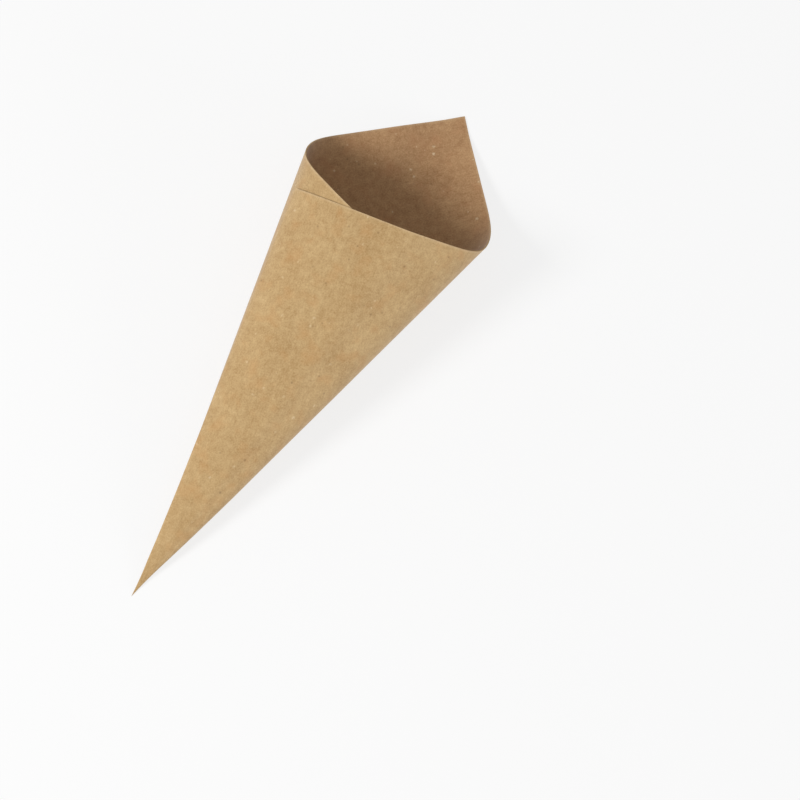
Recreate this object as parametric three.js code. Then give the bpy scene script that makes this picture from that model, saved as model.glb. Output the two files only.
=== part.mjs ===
import * as THREE from 'three';

// Candy cone: one near-square sheet of kraft card, wound round one of its corners into a slim
// pointed cone. The sheet's far corner stands up as the peak of the mouth, the outer flap comes
// round the front, and the inner flap lies under it. There is no glue strip, tab or fold.
// Millimetres. The empty cone lies on its back as it comes to rest: the peak and the tip are on
// the table, +X runs from the tip to the peak, and +Z is up.

// Flat sheet, measured from the point that becomes the tip
const outerEdgeReach = 130;
const innerEdgeReach = 127.8;
const seamOverhang = 3.9;
const paperThickness = 0.4;

// Wound cone: its mean half angle, and how far the hand-rolled section departs from round
const halfAngle = THREE.MathUtils.degToRad(10.68);
const ovality = 0.162;
const widestTurn = THREE.MathUtils.degToRad(80.8);
const layerGap = 0.1;

// Where the outer flap's edge lies, the inner flap is already fully under it by this turn
const windInMargin = THREE.MathUtils.degToRad(6);

// Tip: the layers pinch together, the point is drawn out fine and leans to one side
const pinchLength = 10;
const drawnPoint = 2.1;
const drawnLength = 8;
const tipLean = 0.88;
const leanLength = 43;

// Flat strip that the cone rests on, as half of its turn about the axis
const restHalfTurn = THREE.MathUtils.degToRad(8);

// Fineness of the facets
const columnTurn = THREE.MathUtils.degToRad(4);
const pointRings = 3;
const leanRings = 5;
const bodyRings = 4;
const turnStep = THREE.MathUtils.degToRad(0.25);
const turnLimit = 2 * Math.PI;

const kraft = new THREE.MeshStandardMaterial({ color: 0xc8aa7d, roughness: 0.9, metalness: 0 });

// Slope of the wall to the axis. A turn is 0 at the peak and grows towards the outer flap's edge.
function slopeAt(turn) {
  return halfAngle * (1 + ovality * Math.cos(2 * (turn - widestTurn)));
}

// Unit vector from the tip up the wall, with the cone's axis along z
function wallDirection(turn) {
  const slope = slopeAt(turn);
  return new THREE.Vector3(
    Math.sin(slope) * Math.cos(turn),
    -Math.sin(slope) * Math.sin(turn),
    Math.cos(slope),
  );
}

// Unit normal of the wall, pointing into the cone
function inwardNormal(turn) {
  const before = wallDirection(turn - turnStep);
  const after = wallDirection(turn + turnStep);
  return after.cross(before).normalize();
}

// Paper doesn't stretch, so the angle swept on the flat sheet equals the arc swept by the wall
function sweepTable() {
  const half = [0];
  const otherHalf = [0];
  for (let turn = turnStep; turn <= turnLimit; turn += turnStep) {
    const forward = wallDirection(turn - turnStep).angleTo(wallDirection(turn));
    const back = wallDirection(turnStep - turn).angleTo(wallDirection(-turn));
    half.push(half.at(-1) + forward);
    otherHalf.push(otherHalf.at(-1) + back);
  }
  return { half, otherHalf };
}

const sweeps = sweepTable();

function sweptAngle(turn) {
  const table = turn < 0 ? sweeps.otherHalf : sweeps.half;
  const place = Math.min(Math.abs(turn) / turnStep, table.length - 1);
  const below = Math.min(Math.floor(place), table.length - 2);
  const swept = THREE.MathUtils.lerp(table[below], table[below + 1], place - below);
  return Math.sign(turn) * swept;
}

function turnForSweep(swept) {
  const table = swept < 0 ? sweeps.otherHalf : sweeps.half;
  const target = Math.abs(swept);
  const found = table.findIndex((value) => value >= target);
  const above = found < 1 ? table.length - 1 : found;
  const share = (target - table[above - 1]) / (table[above] - table[above - 1]);
  return Math.sign(swept) * (above - 1 + share) * turnStep;
}

// Corners of the sheet, as angles about the tip counted from the peak
const peakAngle = Math.atan2(innerEdgeReach, outerEdgeReach);
const outerEnd = turnForSweep(peakAngle + Math.atan2(seamOverhang, outerEdgeReach));
const innerEnd = turnForSweep(peakAngle - Math.PI / 2);

// Distance from the tip to the sheet's cut edge
function edgeReach(turn) {
  const sheetAngle = peakAngle - sweptAngle(turn);
  if (turn >= 0) return outerEdgeReach / Math.cos(sheetAngle);
  return innerEdgeReach / Math.sin(sheetAngle);
}

// How deep the sheet's outer face lies under the true cone: the inner flap winds in under the seam
function layerDepth(turn) {
  const fullyUnder = outerEnd - 2 * Math.PI + windInMargin;
  const share = THREE.MathUtils.smoothstep(-turn, restHalfTurn, -fullyUnder);
  return (paperThickness + layerGap) * share;
}

// Turns of the generators: the rest strip has only its edges and its middle
function columnTurns() {
  const outward = [];
  for (let turn = restHalfTurn; turn < outerEnd - columnTurn / 2; turn += columnTurn) {
    outward.push(turn);
  }
  const inward = [];
  for (let turn = -restHalfTurn; turn > innerEnd + columnTurn / 2; turn -= columnTurn) {
    inward.unshift(turn);
  }
  return [innerEnd, ...inward, 0, ...outward, outerEnd];
}

// Distances from the tip at which the wall is cut into rings, out to the cut edge
function ringReaches(reach) {
  const rings = [];
  for (let i = 1; i <= pointRings; i++) rings.push((drawnLength * i) / pointRings);
  for (let i = 1; i <= leanRings; i++) {
    rings.push(THREE.MathUtils.lerp(drawnLength, leanLength, i / leanRings));
  }
  for (let i = 1; i <= bodyRings; i++) {
    rings.push(THREE.MathUtils.lerp(leanLength, reach, i / bodyRings));
  }
  return rings;
}

// The resting frame: the strip's middle line is +X, and its inward normal is +Z
const stripEdge = wallDirection(restHalfTurn);
const otherStripEdge = wallDirection(-restHalfTurn);
const alongStrip = stripEdge.clone().add(otherStripEdge).normalize();
const upFromStrip = stripEdge.clone().cross(otherStripEdge).normalize();
const acrossStrip = upFromStrip.clone().cross(alongStrip);
const toRest = new THREE.Matrix4().makeBasis(alongStrip, acrossStrip, upFromStrip).transpose();

// Draws the point out along the table and leans it aside, both fading up the wall
function shapeTip(point, reach) {
  const drawn = Math.max(0, 1 - reach / drawnLength);
  const leaning = Math.max(0, 1 - reach / leanLength);
  point.x -= drawnPoint * drawn ** 2;
  point.y += tipLean * leaning ** 2;
  return point;
}

// One generator: its points on the outer and the inner face, from the tip to the cut edge
function buildColumn(turn) {
  const onStrip = Math.abs(turn) < restHalfTurn;
  const direction = onStrip ? alongStrip : wallDirection(turn);
  const normal = onStrip ? upFromStrip : inwardNormal(turn);
  return ringReaches(edgeReach(turn)).map((reach) => {
    const pinch = Math.min(1, reach / pinchLength);
    return [layerDepth(turn), layerDepth(turn) + paperThickness].map((depth) => {
      const point = direction.clone().multiplyScalar(reach);
      point.addScaledVector(normal, depth * pinch).applyMatrix4(toRest);
      return shapeTip(point, reach);
    });
  });
}

function buildPaperCone() {
  const columns = columnTurns().map(buildColumn);
  const ringCount = columns[0].length;
  const tip = shapeTip(new THREE.Vector3(), 0);
  const positions = [tip, ...columns.flat(2)].flatMap((point) => point.toArray());
  const indices = [];
  const outer = (column, ring) => 1 + 2 * (column * ringCount + ring);
  const inner = (column, ring) => outer(column, ring) + 1;
  const quad = (a, b, c, d) => indices.push(a, b, c, a, c, d);

  for (let column = 0; column + 1 < columns.length; column++) {
    const next = column + 1;
    indices.push(0, outer(column, 0), outer(next, 0));
    indices.push(0, inner(next, 0), inner(column, 0));
    for (let ring = 0; ring + 1 < ringCount; ring++) {
      const up = ring + 1;
      quad(outer(column, ring), outer(column, up), outer(next, up), outer(next, ring));
      quad(inner(next, ring), inner(next, up), inner(column, up), inner(column, ring));
    }
    const rim = ringCount - 1;
    quad(outer(column, rim), inner(column, rim), inner(next, rim), outer(next, rim));
  }

  // Straight cut sides of the two flaps, from the tip to the mouth
  const last = columns.length - 1;
  indices.push(0, inner(0, 0), outer(0, 0));
  indices.push(0, outer(last, 0), inner(last, 0));
  for (let ring = 0; ring + 1 < ringCount; ring++) {
    const up = ring + 1;
    quad(inner(0, ring), inner(0, up), outer(0, up), outer(0, ring));
    quad(outer(last, ring), outer(last, up), inner(last, up), inner(last, ring));
  }

  const geometry = new THREE.BufferGeometry();
  geometry.setAttribute('position', new THREE.Float32BufferAttribute(positions, 3));
  geometry.setIndex(indices);
  geometry.computeVertexNormals();
  return geometry;
}

const paperCone = new THREE.Mesh(buildPaperCone(), kraft);
paperCone.name = 'paper_cone';

// The origin is under the middle of the resting cone
const extent = new THREE.Box3().setFromObject(paperCone);
const middle = extent.getCenter(new THREE.Vector3());
paperCone.position.set(-middle.x, -middle.y, -extent.min.z);

const candyCone = new THREE.Group();
candyCone.add(paperCone);

export default candyCone;
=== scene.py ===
"""Candy cone: one kraft card sheet wound into a pointed cone, lying on its back on a pale table."""

import math

import bpy
import numpy as np
from mathutils import Euler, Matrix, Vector


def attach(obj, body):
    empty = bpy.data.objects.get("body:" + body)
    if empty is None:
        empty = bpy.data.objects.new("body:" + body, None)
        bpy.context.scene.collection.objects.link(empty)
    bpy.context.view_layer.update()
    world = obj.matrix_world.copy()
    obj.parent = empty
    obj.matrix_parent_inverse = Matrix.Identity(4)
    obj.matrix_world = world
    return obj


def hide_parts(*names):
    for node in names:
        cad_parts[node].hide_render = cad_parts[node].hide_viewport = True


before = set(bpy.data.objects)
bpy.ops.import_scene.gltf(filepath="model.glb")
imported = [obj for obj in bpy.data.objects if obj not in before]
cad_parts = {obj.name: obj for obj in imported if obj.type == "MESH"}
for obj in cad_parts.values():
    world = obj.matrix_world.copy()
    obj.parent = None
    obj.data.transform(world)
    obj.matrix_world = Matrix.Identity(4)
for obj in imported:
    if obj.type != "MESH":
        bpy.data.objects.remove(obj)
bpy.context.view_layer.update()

MM = 0.001

# Flat sheet, measured from the point that becomes the tip
OUTER_EDGE_REACH = 130 * MM
INNER_EDGE_REACH = 127.8 * MM
SEAM_OVERHANG = 3.9 * MM
CARD_THICKNESS = 0.4 * MM
LAYER_GAP = 0.1 * MM

# Wound cone: its mean half angle, and shares of it that make the hand-rolled section. The second
# terms are the CAD's oval, and the finer ones draw in the two tighter bends.
HALF_ANGLE = math.radians(10.68)
SLOPE_COSINES = {2: -0.1534, 3: -0.0162, 4: 0.0169, 5: 0.0085, 6: 0.004, 7: 0.0091, 8: -0.0015}
SLOPE_SINES = {2: 0.0512, 3: 0.013, 4: 0.0058, 5: 0.0025, 6: -0.0033, 7: -0.0114, 8: 0.0059}
WIND_IN_MARGIN = math.radians(6)
REST_HALF_TURN = math.radians(8)

# How finely the angle swept on the flat sheet is reckoned
SWEEP_HARMONICS = range(1, 11)
SWEEP_SAMPLES = 720
SWEEP_SEARCH_STEPS = 30

# Tip: pinched layers, drawn out fine and leaning aside
PINCH_LENGTH = 10 * MM
DRAWN_POINT = 2.1 * MM
DRAWN_LENGTH = 8 * MM
TIP_LEAN = 0.88 * MM
LEAN_LENGTH = 43 * MM

# The outer flap's free edge stands off the inner flap
FLAP_LIFT = 0.4 * MM
FLAP_LIFT_TURN = math.radians(50)

# Soft unevenness of the hand-wound wall
WAVE_DEPTH = 0.16 * MM
WAVES_PER_METRE = 34

# Fineness of the card's mesh, with its rows crowded towards the tip
COLUMNS = 321
ROWS = 72
ROW_CROWDING = 1.6
WELD = 0.0005 * MM
CRISP_ANGLE = math.radians(40)

# Names of the card's own measures, and of its finish in the frame
CARD_UV = "sheet"
PINCH_SHARE = "pinch"
REST_AXES = ("Along strip", "Across strip", "Up from strip")

# Places of the card's finishes on its mesh: the outside comes first, and the inner face takes a
# darker kraft with painted shade
CUT_EDGE_FINISH = 1
SHADED_INSIDE_FINISH = 2

# Kraft's pattern: patches to a millimetre of card, how broken each patch is, and how much it
# tells in the tone
PATTERN_DETAIL = 3.0
CLOUDS_PER_MM = 0.09
CLOUD_BREAK = 0.55
CLOUD_TELL = 0.6
MOTTLES_PER_MM = 0.5
MOTTLE_BREAK = 0.6
MOTTLE_TELL = 0.85
GRAINS_PER_MM = 1.9
GRAIN_BREAK = 0.65
GRAIN_TELL = 1.2
FIBRE_ANGLE = 12
FIBRE_STRETCH = (0.4, 1.6, 1)
FIBRE_TELL = 0.15

# Warm patches in the kraft
BLUSHES_PER_MM = 0.16
BLUSH_ANGLE = 47
BLUSH_START = 0.52
BLUSH_STEEPNESS = 4.0
BLUSH_SHARE = 0.45

# Flecks: millimetres between them and in radius, and the share of places that has one
PALE_FLECKS = {"spacing": 2.8, "radius": 0.62, "share": 0.36}
DARK_FLECKS = {"spacing": 3.0, "radius": 0.56, "share": 0.36}
DARK_FLECK_ANGLE = 31
DARK_FLECK_STRENGTH = 0.5
OUTSIDE_PALE_STRENGTH = 0.32
INSIDE_PALE_STRENGTH = 0.55
SMALLEST_FLECK = 0.4
FLECK_RAGGEDNESS = 2.0
FLECK_CRISPNESS = 1.4
FLECK_BOUND = -0.6

# Painted highlight: the card's faces are painted a little paler near a cut edge, where the edge
# catches the light
CUT_HIGHLIGHT_WIDTH = 0.8
CUT_HIGHLIGHT_STRENGTH = 0.22

# Matt surface of the card, which its grain makes rougher, with a soft fuzz of fibres
CARD_ROUGHNESS = 0.80
GRAIN_ROUGHNESS = 0.14
CARD_SPECULAR = 0.25
FUZZ_WEIGHT = 0.34
FUZZ_ROUGHNESS = 0.5

# Cut edge, which its frayed patches make rougher
FRAYS_PER_MM = 3.0
FRAY_BREAK = 0.65
CUT_ROUGHNESS = 0.86
FRAY_ROUGHNESS = 0.1
CUT_SPECULAR = 0.2
CUT_RELIEF = 0.08 * MM

# Relief of the card: its depth, and how much each part of the pattern stands up
CARD_RELIEF = 0.06 * MM
GRAIN_RISE = 0.55
MOTTLE_RISE = 0.35
FIBRE_RISE = 0.15
FLECK_RISE = 0.3

# Pale table and studio
FLOOR_SIDE = 6.0
FLOOR_DROP = 0.1 * MM
FLOOR_SHADE_SHARE = 0.22
FLOOR_ROUGHNESS = 0.9
FLOOR_COLOUR = (0.86, 0.86, 0.86, 1.0)
WHITE = (1.0, 1.0, 1.0, 1.0)
WORLD_STRENGTH = 0.42

# Lamps: place, diameter and watts, all turned to the middle of the cone
LAMP_AIM = (0, 0, 0.02)
LAMPS = {
    "key": ((-0.59, 0.61, 0.75), 0.35, 8.7),
    "fill": ((-0.18, -1.05, 0.18), 0.6, 5.4),
}

# Camera that looks down at the photograph's angle
CAMERA_PLACE = (-0.31322, -0.03096, 1.16427)
CAMERA_TURN = (12.647, -8.649, -56.857)
CAMERA_LENS = 177.95
SENSOR_WIDTH = 36


def from_srgb(red, green, blue):
    """Linear colour of a colour written in screen values from 0 to 255."""
    screen = [value / 255 for value in (red, green, blue)]
    low = [value / 12.92 for value in screen]
    high = [((value + 0.055) / 1.055) ** 2.4 for value in screen]
    return tuple(h if value > 0.04045 else l for value, l, h in zip(screen, low, high)) + (1.0,)


KRAFT_DARK = from_srgb(160, 124, 76)
KRAFT_LIGHT = from_srgb(208, 178, 130)
KRAFT_BLUSH = from_srgb(190, 142, 88)
# Inner face: the same kraft painted darker and browner, as painted shade for the shadow inside the
# cone
SHADED_INSIDE_DARK = from_srgb(146, 103, 65)
SHADED_INSIDE_LIGHT = from_srgb(202, 163, 119)
SHADED_INSIDE_BLUSH = from_srgb(178, 128, 88)
# Pale fleck colour, also used for the painted highlight along the cut edges
KRAFT_PALE_FLECK_AND_HIGHLIGHT = from_srgb(232, 212, 176)
KRAFT_FLECK_DARK = from_srgb(112, 82, 52)
CUT_EDGE_DARK = from_srgb(176, 140, 94)
CUT_EDGE_LIGHT = from_srgb(208, 176, 132)


class Reading:
    """A number that flows through a node tree, and can be reckoned with like any number."""

    def __init__(self, tree, socket):
        self.tree = tree
        self.socket = socket

    def reckon(self, operation, *others):
        node = self.tree.nodes.new("ShaderNodeMath")
        node.operation = operation
        for term, socket in zip((self, *others), node.inputs):
            plug(self.tree, term, socket)
        return Reading(self.tree, node.outputs[0])

    def __add__(self, other):
        return self.reckon("ADD", other)

    def __sub__(self, other):
        return self.reckon("SUBTRACT", other)

    def __mul__(self, other):
        return self.reckon("MULTIPLY", other)

    def __truediv__(self, other):
        return self.reckon("DIVIDE", other)

    def __neg__(self):
        return self.reckon("MULTIPLY", -1.0)

    def power(self, exponent):
        return self.reckon("POWER", exponent)

    def sin(self):
        return self.reckon("SINE")

    def cos(self):
        return self.reckon("COSINE")

    def at_least(self, floor):
        return self.reckon("MAXIMUM", floor)

    def at_most(self, ceiling):
        return self.reckon("MINIMUM", ceiling)

    def as_share(self):
        """Held between 0 and 1."""
        return self.at_least(0.0).at_most(1.0)


def plug(tree, term, socket):
    """Feeds a reading, a socket or a plain value into a socket."""
    if isinstance(term, Reading):
        tree.links.new(term.socket, socket)
    elif isinstance(term, bpy.types.NodeSocket):
        tree.links.new(term, socket)
    else:
        socket.default_value = term


def vector_step(tree, operation, first, second=None):
    node = tree.nodes.new("ShaderNodeVectorMath")
    node.operation = operation
    plug(tree, first, node.inputs[0])
    if second is not None:
        plug(tree, second, node.inputs[1])
    return node


def scaled_vector(tree, vector, factor):
    node = vector_step(tree, "SCALE", vector)
    plug(tree, factor, node.inputs["Scale"])
    return node.outputs[0]


def vector_of(tree, *parts):
    node = tree.nodes.new("ShaderNodeCombineXYZ")
    for part, socket in zip(parts, node.inputs):
        plug(tree, part, socket)
    return node.outputs[0]


def parts_of(tree, vector):
    """The first two parts of a vector, as readings."""
    node = tree.nodes.new("ShaderNodeSeparateXYZ")
    tree.links.new(vector, node.inputs[0])
    return Reading(tree, node.outputs["X"]), Reading(tree, node.outputs["Y"])


def smooth_rise(tree, reading, low, high):
    """Rises smoothly from 0 to 1 while the reading goes from low to high."""
    node = tree.nodes.new("ShaderNodeMapRange")
    node.interpolation_type = "SMOOTHSTEP"
    plug(tree, reading, node.inputs["Value"])
    plug(tree, low, node.inputs["From Min"])
    plug(tree, high, node.inputs["From Max"])
    return Reading(tree, node.outputs[0])


def noise(tree, vector, scale, detail=2.0, roughness=0.5):
    node = tree.nodes.new("ShaderNodeTexNoise")
    plug(tree, vector, node.inputs["Vector"])
    plug(tree, scale, node.inputs["Scale"])
    node.inputs["Detail"].default_value = detail
    node.inputs["Roughness"].default_value = roughness
    return Reading(tree, node.outputs[0])


# The cone's rule, as plain numbers, for the values that the winding is given


def slope_at(turn):
    shares = [cosine * np.cos(order * turn) for order, cosine in SLOPE_COSINES.items()]
    shares += [sine * np.sin(order * turn) for order, sine in SLOPE_SINES.items()]
    return HALF_ANGLE * (1 + sum(shares))


def slope_rate_at(turn):
    shares = [-cosine * order * np.sin(order * turn) for order, cosine in SLOPE_COSINES.items()]
    shares += [sine * order * np.cos(order * turn) for order, sine in SLOPE_SINES.items()]
    return HALF_ANGLE * sum(shares)


def wall_direction(turn):
    slope = slope_at(turn)
    return np.array([np.sin(slope) * np.cos(turn), -np.sin(slope) * np.sin(turn), np.cos(slope)])


def sweep_terms():
    """The flat angle swept up to a turn, as a mean rate and harmonics of the turn."""
    turns = np.linspace(0, 2 * np.pi, SWEEP_SAMPLES, endpoint=False)
    rate = np.sqrt(slope_rate_at(turns) ** 2 + np.sin(slope_at(turns)) ** 2)
    terms = {"Sweep rate": rate.mean()}
    for harmonic in SWEEP_HARMONICS:
        in_phase = 2 * (rate * np.cos(harmonic * turns)).mean() / harmonic
        out_of_phase = 2 * (rate * np.sin(harmonic * turns)).mean() / harmonic
        terms[f"Sweep sine {harmonic}"] = in_phase
        terms[f"Sweep cosine {harmonic}"] = -out_of_phase
    return terms


SWEEP = sweep_terms()
PEAK_ANGLE = math.atan2(INNER_EDGE_REACH, OUTER_EDGE_REACH)


def swept_angle(turn):
    swept = SWEEP["Sweep rate"] * turn
    for harmonic in SWEEP_HARMONICS:
        swept += SWEEP[f"Sweep sine {harmonic}"] * math.sin(harmonic * turn)
        swept += SWEEP[f"Sweep cosine {harmonic}"] * (math.cos(harmonic * turn) - 1)
    return swept


def turn_for_sweep(swept):
    turn = swept / SWEEP["Sweep rate"]
    for _ in range(SWEEP_SEARCH_STEPS):
        turn += (swept - swept_angle(turn)) / SWEEP["Sweep rate"]
    return turn


OUTER_END = turn_for_sweep(PEAK_ANGLE + math.atan2(SEAM_OVERHANG, OUTER_EDGE_REACH))
INNER_END = turn_for_sweep(PEAK_ANGLE - math.pi / 2)


def rest_axes():
    """Directions along, across and up from the flat strip that the cone rests on."""
    edge = wall_direction(REST_HALF_TURN)
    other_edge = wall_direction(-REST_HALF_TURN)
    along = edge + other_edge
    up = np.cross(edge, other_edge)
    along /= np.linalg.norm(along)
    up /= np.linalg.norm(up)
    return along, np.cross(up, along), up


def winding_point():
    """Where the sheet's own corner lies on the table, before the tip is drawn out and leaned."""
    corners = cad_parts["paper_cone"].data.vertices
    tip = min((corner.co for corner in corners), key=lambda place: place.x)
    return Vector((tip.x + DRAWN_POINT, tip.y - TIP_LEAN, 0.0))


def sheet_sizes():
    """The sizes that the winding is given, by the names of its inputs."""
    return {
        "Outer edge reach": OUTER_EDGE_REACH,
        "Inner edge reach": INNER_EDGE_REACH,
        "Peak angle": PEAK_ANGLE,
        "Outer end": OUTER_END,
        "Inner end": INNER_END,
        "Half angle": HALF_ANGLE,
        "Layer step": CARD_THICKNESS + LAYER_GAP,
        "Wind-in start": REST_HALF_TURN,
        "Wind-in end": 2 * math.pi - OUTER_END - WIND_IN_MARGIN,
        "Flap lift": FLAP_LIFT,
        "Flap lift start": OUTER_END - FLAP_LIFT_TURN,
        "Pinch length": PINCH_LENGTH,
        "Drawn point": DRAWN_POINT,
        "Drawn length": DRAWN_LENGTH,
        "Tip lean": TIP_LEAN,
        "Lean length": LEAN_LENGTH,
        "Wave depth": WAVE_DEPTH,
        "Waves per metre": WAVES_PER_METRE,
        **{f"Slope cosine {order}": share for order, share in SLOPE_COSINES.items()},
        **{f"Slope sine {order}": share for order, share in SLOPE_SINES.items()},
        **SWEEP,
    }


def winding_inputs(tree):
    """Gives the tree its inputs, and returns what to set on each by its identifier."""
    places = dict(zip(REST_AXES, rest_axes()))
    places["Winding point"] = winding_point()
    inputs = [(name, "NodeSocketFloat", float(size)) for name, size in sheet_sizes().items()]
    for name, place in places.items():
        inputs.append((name, "NodeSocketVector", tuple(float(part) for part in place)))
    inputs.append(("Columns", "NodeSocketInt", COLUMNS))
    inputs.append(("Rows", "NodeSocketInt", ROWS))
    values = {}
    for name, kind, value in inputs:
        item = tree.interface.new_socket(name, in_out="INPUT", socket_type=kind)
        values[item.identifier] = value
    card = tree.interface.new_socket("Card", in_out="INPUT", socket_type="NodeSocketMaterial")
    return values, card.identifier


def swept_on_sheet(size, turn):
    """The angle on the flat sheet from the peak to a turn of the wall."""
    swept = turn * size["Sweep rate"]
    for harmonic in SWEEP_HARMONICS:
        phase = turn * float(harmonic)
        swept = swept + size[f"Sweep sine {harmonic}"] * phase.sin()
        swept = swept + size[f"Sweep cosine {harmonic}"] * (phase.cos() - 1.0)
    return swept


def reach_to_cut(tree, size, turn, sheet_angle):
    """Distance from the tip to the sheet's cut edge."""
    edge = tree.nodes.new("GeometryNodeSwitch")
    edge.input_type = "FLOAT"
    plug(tree, turn.reckon("LESS_THAN", 0.0), edge.inputs["Switch"])
    plug(tree, size["Outer edge reach"] / sheet_angle.cos(), edge.inputs["False"])
    plug(tree, size["Inner edge reach"] / sheet_angle.sin(), edge.inputs["True"])
    return Reading(tree, edge.outputs[0])


def wall_at(tree, size, turn):
    """Direction up the wall at a turn, and the wall's normal into the cone."""
    shares = []
    rates = []
    for order in SLOPE_COSINES:
        cosine = size[f"Slope cosine {order}"]
        sine = size[f"Slope sine {order}"]
        phase = turn * float(order)
        shares.append(cosine * phase.cos() + sine * phase.sin())
        rates.append((sine * phase.cos() - cosine * phase.sin()) * float(order))
    slope = (sum(shares[1:], shares[0]) + 1.0) * size["Half angle"]
    slope_rate = sum(rates[1:], rates[0]) * size["Half angle"]
    flat = slope.sin()
    rise = slope.cos()
    direction = vector_of(tree, flat * turn.cos(), -(flat * turn.sin()), rise)
    change = vector_of(
        tree,
        rise * slope_rate * turn.cos() - flat * turn.sin(),
        -(rise * slope_rate * turn.sin() + flat * turn.cos()),
        -(flat * slope_rate),
    )
    square = vector_step(tree, "CROSS_PRODUCT", change, direction).outputs[0]
    return direction, vector_step(tree, "NORMALIZE", square).outputs[0]


def layer_depth(tree, size, turn, on_cone):
    """How deep the card lies under the true cone. The inner flap winds in under the seam, the
    outer flap's free edge lifts, and the wall is softly uneven."""
    wound_in = smooth_rise(tree, -turn, size["Wind-in start"], size["Wind-in end"])
    lifted = smooth_rise(tree, turn, size["Flap lift start"], size["Outer end"])
    waves = noise(tree, on_cone, size["Waves per metre"], detail=1.0)
    depth = size["Layer step"] * wound_in - size["Flap lift"] * lifted
    return depth + size["Wave depth"] * waves


def fading(reach, length):
    """1 at the tip, and falling to 0 at this length up the wall."""
    return (-(reach / length) + 1.0).at_least(0.0).power(2.0)


def laid_to_rest(tree, size, given, place, reach):
    """Lays the cone on its strip, draws out and leans the tip, and moves it to the middle."""
    laid = [
        Reading(tree, vector_step(tree, "DOT_PRODUCT", place, given[name]).outputs["Value"])
        for name in REST_AXES
    ]
    resting = vector_of(
        tree,
        laid[0] - size["Drawn point"] * fading(reach, size["Drawn length"]),
        laid[1] + size["Tip lean"] * fading(reach, size["Lean length"]),
        laid[2].at_least(0.0),
    )
    return vector_step(tree, "ADD", resting, given["Winding point"]).outputs[0]


def store(tree, geometry, name, data_type, domain, value):
    node = tree.nodes.new("GeometryNodeStoreNamedAttribute")
    node.data_type = data_type
    node.domain = domain
    node.inputs["Name"].default_value = name
    tree.links.new(geometry, node.inputs["Geometry"])
    plug(tree, value, node.inputs["Value"])
    return node.outputs[0]


def worked(tree, kind, geometry, **settings):
    """Passes the geometry through one node, with these settings on its inputs."""
    node = tree.nodes.new(kind)
    tree.links.new(geometry, node.inputs[0])
    for name, value in settings.items():
        plug(tree, value, node.inputs[name])
    return node.outputs[0]


def wound_sheet_tree():
    """Winds a flat grid into the cone's outer face, by the sizes of the flat sheet."""
    tree = bpy.data.node_groups.new("wound sheet", "GeometryNodeTree")
    tree.interface.new_socket("Geometry", in_out="OUTPUT", socket_type="NodeSocketGeometry")
    values, card_input = winding_inputs(tree)
    given = tree.nodes.new("NodeGroupInput").outputs
    size = {name: Reading(tree, given[name]) for name in sheet_sizes()}

    # The grid is 1 by 1 about its middle, and the peak has a column of its own halfway across
    grid = tree.nodes.new("GeometryNodeMeshGrid")
    tree.links.new(given["Columns"], grid.inputs["Vertices X"])
    tree.links.new(given["Rows"], grid.inputs["Vertices Y"])
    grid_x, grid_y = parts_of(tree, tree.nodes.new("GeometryNodeInputPosition").outputs[0])
    across = grid_x * 2.0
    along = (grid_y + 0.5).at_least(0.0)
    turn = across.at_least(0.0) * size["Outer end"] + (-across).at_least(0.0) * size["Inner end"]
    sheet_angle = size["Peak angle"] - swept_on_sheet(size, turn)
    reach = reach_to_cut(tree, size, turn, sheet_angle) * along.power(ROW_CROWDING)

    direction, inward = wall_at(tree, size, turn)
    on_cone = scaled_vector(tree, direction, reach)
    pinch = (reach / size["Pinch length"]).at_most(1.0)
    depth = layer_depth(tree, size, turn, on_cone) * pinch
    place = vector_step(tree, "ADD", on_cone, scaled_vector(tree, inward, depth)).outputs[0]
    resting = laid_to_rest(tree, size, given, place, reach)

    # The card keeps each point's place on the flat sheet before the grid is moved
    on_sheet = vector_of(tree, reach * sheet_angle.cos(), reach * sheet_angle.sin(), 0.0)
    sheet = store(tree, grid.outputs["Mesh"], CARD_UV, "FLOAT2", "CORNER", on_sheet)
    sheet = store(tree, sheet, PINCH_SHARE, "FLOAT", "POINT", pinch)
    wound = worked(tree, "GeometryNodeSetPosition", sheet, Position=resting)
    wound = worked(tree, "GeometryNodeFlipFaces", wound)
    wound = worked(tree, "GeometryNodeMergeByDistance", wound, Distance=WELD)
    wound = worked(tree, "GeometryNodeSetShadeSmooth", wound)
    wound = worked(tree, "GeometryNodeRealizeInstances", wound)
    wound = worked(tree, "GeometryNodeSetMaterial", wound, Material=given["Card"])
    tree.links.new(wound, tree.nodes.new("NodeGroupOutput").inputs["Geometry"])
    return tree, values, card_input


def settled_mesh(owner, name):
    """The owner's mesh with its modifiers worked in."""
    bpy.context.view_layer.update()
    seen = owner.evaluated_get(bpy.context.evaluated_depsgraph_get())
    mesh = bpy.data.meshes.new_from_object(seen)
    mesh.name = name
    return mesh


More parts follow.
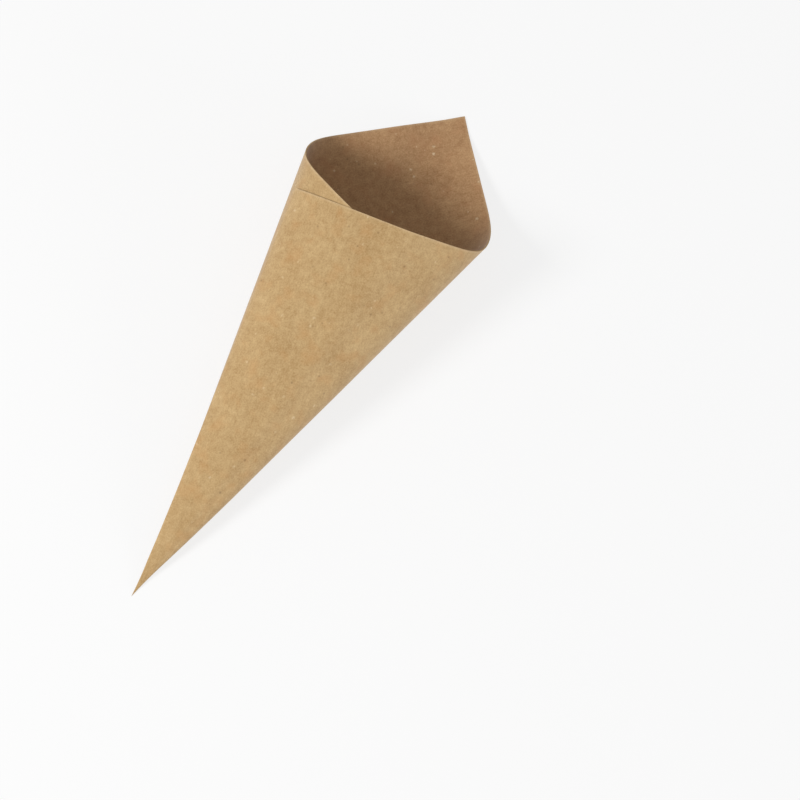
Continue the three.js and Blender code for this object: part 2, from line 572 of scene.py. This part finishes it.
def wind_card(card, cut_edge, inside):
    """The wound card, with its thickness, its own finish on the cut edges, and painted shade in the
    darker kraft of its inner face.
    """
    cone = bpy.data.objects.new("wound_card_cone", bpy.data.meshes.new("flat card"))
    bpy.context.scene.collection.objects.link(cone)
    tree, values, card_input = wound_sheet_tree()
    winding = cone.modifiers.new("winding", "NODES")
    winding.node_group = tree
    for identifier, value in values.items():
        winding[identifier] = value
    winding[card_input] = card
    wound = settled_mesh(cone, "wound card")
    cone.modifiers.remove(winding)
    cone.data = wound
    wound.materials.clear()
    for finish in (card, cut_edge, inside):
        wound.materials.append(finish)

    # The card thins out where its layers pinch together at the tip
    pinched = cone.vertex_groups.new(name="pinched tip")
    for point, share in enumerate(wound.attributes[PINCH_SHARE].data):
        pinched.add([point], share.value, "REPLACE")
    thicken = cone.modifiers.new("card thickness", "SOLIDIFY")
    thicken.thickness = CARD_THICKNESS
    thicken.offset = -1
    thicken.vertex_group = pinched.name
    thicken.material_offset_rim = CUT_EDGE_FINISH
    thicken.material_offset = SHADED_INSIDE_FINISH
    solid = settled_mesh(cone, "card cone")
    solid.set_sharp_from_angle(angle=CRISP_ANGLE)
    cone.modifiers.remove(thicken)
    cone.data = solid
    cone.vertex_groups.clear()
    return cone


def shader_start(name):
    material = bpy.data.materials.new(name)
    material.use_nodes = True
    tree = material.node_tree
    return material, tree, tree.nodes["Principled BSDF"]


def turned(tree, vector, angle, stretch=(1, 1, 1)):
    node = tree.nodes.new("ShaderNodeMapping")
    plug(tree, vector, node.inputs["Vector"])
    node.inputs["Rotation"].default_value = (0, 0, math.radians(angle))
    node.inputs["Scale"].default_value = stretch
    return node.outputs[0]


def flecks(tree, vector, unevenness, spacing, radius, share):
    """A mask of small ragged spots, in a share of the cells of an uneven mesh."""
    cells = tree.nodes.new("ShaderNodeTexVoronoi")
    plug(tree, vector, cells.inputs["Vector"])
    cells.inputs["Scale"].default_value = 1 / spacing
    pick = tree.nodes.new("ShaderNodeSeparateColor")
    tree.links.new(cells.outputs["Color"], pick.inputs[0])
    chosen = Reading(tree, pick.outputs[0]).reckon("LESS_THAN", share)
    grown = Reading(tree, pick.outputs[1]) * (1 - SMALLEST_FLECK) + SMALLEST_FLECK
    near = -(Reading(tree, cells.outputs["Distance"]) / (grown * (radius / spacing))) + 1.0
    ragged = near + (unevenness - 0.5) * FLECK_RAGGEDNESS
    spot = (ragged * FLECK_CRISPNESS).as_share()
    return spot * chosen * near.reckon("GREATER_THAN", FLECK_BOUND)


def blend(tree, factor, first, second):
    node = tree.nodes.new("ShaderNodeMix")
    node.data_type = "RGBA"
    plug(tree, factor, node.inputs["Factor"])
    plug(tree, first, node.inputs["A"])
    plug(tree, second, node.inputs["B"])
    return node.outputs["Result"]


def relief(tree, height, depth, shader):
    node = tree.nodes.new("ShaderNodeBump")
    node.inputs["Strength"].default_value = 1.0
    node.inputs["Distance"].default_value = depth
    plug(tree, height, node.inputs["Height"])
    tree.links.new(node.outputs[0], shader.inputs["Normal"])


def kraft_card(name, dark_tone, light_tone, blush, pale_strength):
    """Unbleached kraft: cloudy pulp, blotches, fine grain, and pale and dark flecks."""
    material, tree, shader = shader_start(name)
    sheet = tree.nodes.new("ShaderNodeUVMap")
    sheet.uv_map = CARD_UV
    millimetres = scaled_vector(tree, sheet.outputs[0], 1 / MM)

    clouds = noise(tree, millimetres, CLOUDS_PER_MM, PATTERN_DETAIL, CLOUD_BREAK)
    mottle = noise(tree, millimetres, MOTTLES_PER_MM, PATTERN_DETAIL, MOTTLE_BREAK)
    grain = noise(tree, millimetres, GRAINS_PER_MM, PATTERN_DETAIL, GRAIN_BREAK)
    fibre = noise(tree, turned(tree, millimetres, FIBRE_ANGLE, FIBRE_STRETCH), 1.0)
    tone = (clouds - 0.5) * CLOUD_TELL + (mottle - 0.5) * MOTTLE_TELL + (grain - 0.5) * GRAIN_TELL
    tone = tone + (fibre - 0.5) * FIBRE_TELL + 0.5
    colour = blend(tree, tone.as_share(), dark_tone, light_tone)

    patches = noise(tree, turned(tree, millimetres, BLUSH_ANGLE), BLUSHES_PER_MM)
    warm = ((patches - BLUSH_START) * BLUSH_STEEPNESS).as_share()
    colour = blend(tree, warm * BLUSH_SHARE, colour, blush)
    pale = flecks(tree, millimetres, grain, **PALE_FLECKS)
    dark = flecks(tree, turned(tree, millimetres, DARK_FLECK_ANGLE), grain, **DARK_FLECKS)
    colour = blend(tree, pale * pale_strength, colour, KRAFT_PALE_FLECK_AND_HIGHLIGHT)
    colour = blend(tree, dark * DARK_FLECK_STRENGTH, colour, KRAFT_FLECK_DARK)

    # Painted highlight: the faces turn paler towards the sheet's cut edges
    from_outer_edge, from_inner_edge = parts_of(tree, millimetres)
    to_outer_cut = -from_outer_edge + OUTER_EDGE_REACH / MM
    to_inner_cut = -from_inner_edge + INNER_EDGE_REACH / MM
    painted_cut_highlight = (-(to_outer_cut.at_most(to_inner_cut) / CUT_HIGHLIGHT_WIDTH) + 1.0).at_least(0.0)
    colour = blend(tree, painted_cut_highlight * CUT_HIGHLIGHT_STRENGTH, colour, KRAFT_PALE_FLECK_AND_HIGHLIGHT)
    tree.links.new(colour, shader.inputs["Base Color"])

    plug(tree, grain * GRAIN_ROUGHNESS + CARD_ROUGHNESS, shader.inputs["Roughness"])
    shader.inputs["Specular IOR Level"].default_value = CARD_SPECULAR
    shader.inputs["Sheen Weight"].default_value = FUZZ_WEIGHT
    shader.inputs["Sheen Roughness"].default_value = FUZZ_ROUGHNESS
    height = grain * GRAIN_RISE + mottle * MOTTLE_RISE + fibre * FIBRE_RISE + pale * FLECK_RISE
    relief(tree, height, CARD_RELIEF, shader)
    return material


def cut_edge_card():
    """The card's cut edge, with frayed fibres and rougher than its faces."""
    material, tree, shader = shader_start("cut card edge")
    place = tree.nodes.new("ShaderNodeTexCoord").outputs["Object"]
    millimetres = scaled_vector(tree, place, 1 / MM)
    frayed = noise(tree, millimetres, FRAYS_PER_MM, PATTERN_DETAIL, FRAY_BREAK)
    tree.links.new(blend(tree, frayed, CUT_EDGE_DARK, CUT_EDGE_LIGHT), shader.inputs["Base Color"])
    plug(tree, frayed * FRAY_ROUGHNESS + CUT_ROUGHNESS, shader.inputs["Roughness"])
    shader.inputs["Specular IOR Level"].default_value = CUT_SPECULAR
    relief(tree, frayed, CUT_RELIEF, shader)
    return material


def seen_as_white(tree):
    """1 where the camera, a gloss or a clear material looks, and 0 for light that falls."""
    path = tree.nodes.new("ShaderNodeLightPath")
    camera = Reading(tree, path.outputs["Is Camera Ray"])
    gloss = Reading(tree, path.outputs["Is Glossy Ray"])
    through = Reading(tree, path.outputs["Is Transmission Ray"])
    return camera.at_least(gloss).at_least(through)


def pale_floor():
    """A pale table that shows white, with a soft share of the cone's shadow."""
    bpy.ops.mesh.primitive_plane_add(size=FLOOR_SIDE, location=(0, 0, -FLOOR_DROP))
    floor = bpy.context.object
    floor.name = "pale_floor"
    material, tree, shader = shader_start("pale floor")
    shader.inputs["Base Color"].default_value = FLOOR_COLOUR
    shader.inputs["Roughness"].default_value = FLOOR_ROUGHNESS
    shader.inputs["Specular IOR Level"].default_value = 0.0
    glow = tree.nodes.new("ShaderNodeEmission")
    glow.inputs["Color"].default_value = WHITE
    mixed = tree.nodes.new("ShaderNodeMixShader")
    plug(tree, seen_as_white(tree) * (1 - FLOOR_SHADE_SHARE), mixed.inputs["Fac"])
    tree.links.new(shader.outputs[0], mixed.inputs[1])
    tree.links.new(glow.outputs[0], mixed.inputs[2])
    tree.links.new(mixed.outputs[0], tree.nodes["Material Output"].inputs["Surface"])
    floor.data.materials.append(material)


def studio_world():
    world = bpy.data.worlds.new("pale studio")
    bpy.context.scene.world = world
    world.use_nodes = True
    tree = world.node_tree
    backdrop = tree.nodes["Background"]
    backdrop.inputs["Color"].default_value = WHITE
    strength = seen_as_white(tree) * (1 - WORLD_STRENGTH) + WORLD_STRENGTH
    plug(tree, strength, backdrop.inputs["Strength"])


def soft_lamp(name, place, diameter, watts):
    light = bpy.data.lights.new(name, "AREA")
    light.shape = "DISK"
    light.size = diameter
    light.energy = watts
    lamp = bpy.data.objects.new(name, light)
    lamp.location = place
    lamp.rotation_euler = (Vector(LAMP_AIM) - Vector(place)).to_track_quat("-Z", "Y").to_euler()
    bpy.context.scene.collection.objects.link(lamp)


def photograph_camera():
    lens = bpy.data.cameras.new("photograph")
    lens.sensor_width = SENSOR_WIDTH
    lens.lens = CAMERA_LENS
    camera = bpy.data.objects.new("photograph", lens)
    camera.location = CAMERA_PLACE
    camera.rotation_euler = Euler([math.radians(angle) for angle in CAMERA_TURN])
    bpy.context.scene.collection.objects.link(camera)
    bpy.context.scene.camera = camera


photograph_camera()
bpy.context.scene.view_settings.view_transform = "Standard"
# The inner face gets a darker copy of the kraft, which is painted shade
card_cone = wind_card(
    kraft_card("kraft card", KRAFT_DARK, KRAFT_LIGHT, KRAFT_BLUSH, OUTSIDE_PALE_STRENGTH),
    cut_edge_card(),
    kraft_card("kraft card painted shade inside", SHADED_INSIDE_DARK, SHADED_INSIDE_LIGHT, SHADED_INSIDE_BLUSH, INSIDE_PALE_STRENGTH),
)
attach(card_cone, "root")
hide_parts("paper_cone")
pale_floor()
studio_world()
for name, (place, diameter, watts) in LAMPS.items():
    soft_lamp(name, place, diameter, watts)
